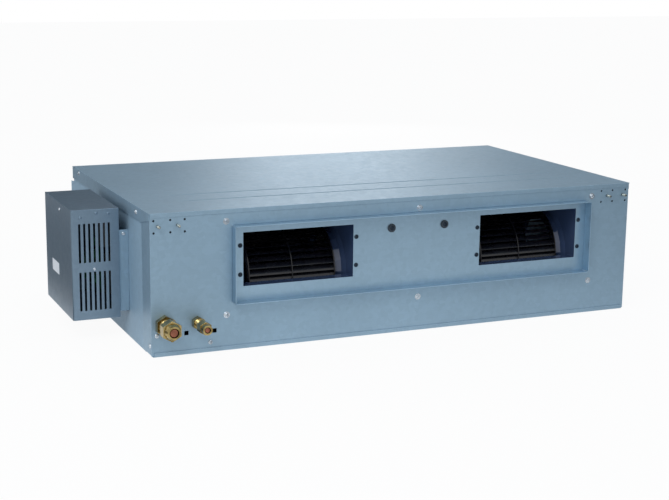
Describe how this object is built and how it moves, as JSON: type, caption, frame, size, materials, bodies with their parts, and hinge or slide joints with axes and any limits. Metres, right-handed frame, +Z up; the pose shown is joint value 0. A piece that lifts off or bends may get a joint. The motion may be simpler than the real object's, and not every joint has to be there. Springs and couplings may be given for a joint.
{
  "type": "ducted indoor unit",
  "caption": "Slim ducted air-conditioning unit: folded sheet casing, two blowers behind a discharge collar, sloping coil, slide-out filter and side control box.",
  "frame": {"origin": "bottom centre of the whole unit's bounding box", "axes": "+Z up, -Y towards the discharge collar, -X towards the control box"},
  "size_m": [1.2576, 0.7366, 0.29],
  "materials": {
    "galvanised": "satin",
    "grey_box": "satin",
    "dark_sheet": "semi-gloss",
    "motor_paint": "satin",
    "steel": "satin",
    "aluminium": "satin",
    "copper": "satin",
    "brass": "satin",
    "black_wheel": "satin",
    "white_plastic": "matt",
    "grey_plastic": "matt",
    "circuit_board": "matt",
    "rubber": "matt",
    "foam": "matt",
    "filter_net": "matt"
  },
  "bodies": {
    "casing": {"top_cover": "galvanised", "bottom_pan": "galvanised", "front_panel": "galvanised", "left_side_panel": "galvanised", "right_side_panel": "galvanised", "return_frame": "galvanised", "outlet_collar": "galvanised", "fan_plate": "galvanised", "hanger_plate_left": "steel", "hanger_plate_right": "steel", "top_insulation": "foam", "fan_housing_left": "dark_sheet", "fan_housing_right": "dark_sheet", "fan_motor": "motor_paint", "motor_mount_left": "rubber", "motor_mount_right": "rubber", "motor_bracket": "galvanised", "bracket_bolt_left": "rubber", "bracket_bolt_right": "rubber", "coil_fins": "aluminium", "coil_end_left": "galvanised", "coil_end_right": "copper", "gas_header": "copper", "liquid_header": "copper", "gas_pipe": "copper", "liquid_pipe": "copper", "drain_pan": "white_plastic", "drain_spout": "white_plastic", "gas_union": "brass", "gas_plug": "copper", "liquid_union": "brass", "liquid_plug": "copper", "control_box_case": "grey_box", "control_box_cover": "grey_box", "box_bracket_front": "galvanised", "box_bracket_rear": "galvanised", "control_board": "circuit_board", "terminal_block": "white_plastic", "run_capacitor": "grey_plastic", "cable_bush": "rubber", "filter_track": "galvanised"},
    "fan_rotor": {"motor_shaft": "steel", "fan_wheel_left": "black_wheel", "fan_wheel_right": "black_wheel"},
    "return_filter": {"filter_frame": "grey_plastic", "filter_mesh": "filter_net"},
    "gas_nut": {"gas_flare_nut": "brass"},
    "liquid_nut": {"liquid_flare_nut": "brass"}
  },
  "joints": [
    {"name": "fan_spin", "type": "hinge", "parent": "casing", "child": "fan_rotor", "pos_m": [0.07525, -0.1733, 0.13], "axis": [1, 0, 0], "continuous": true},
    {"name": "filter_slide", "type": "slide", "parent": "casing", "child": "return_filter", "axis": [1, 0, 0], "range_m": [0, 0.9]},
    {"name": "gas_nut_turn", "type": "hinge", "parent": "casing", "child": "gas_nut", "pos_m": [-0.48325, -0.3513, 0.064], "axis": [0, -1, 0], "continuous": true},
    {"name": "liquid_nut_turn", "type": "hinge", "parent": "casing", "child": "liquid_nut", "pos_m": [-0.41525, -0.3513, 0.0635], "axis": [0, -1, 0], "continuous": true}
  ]
}
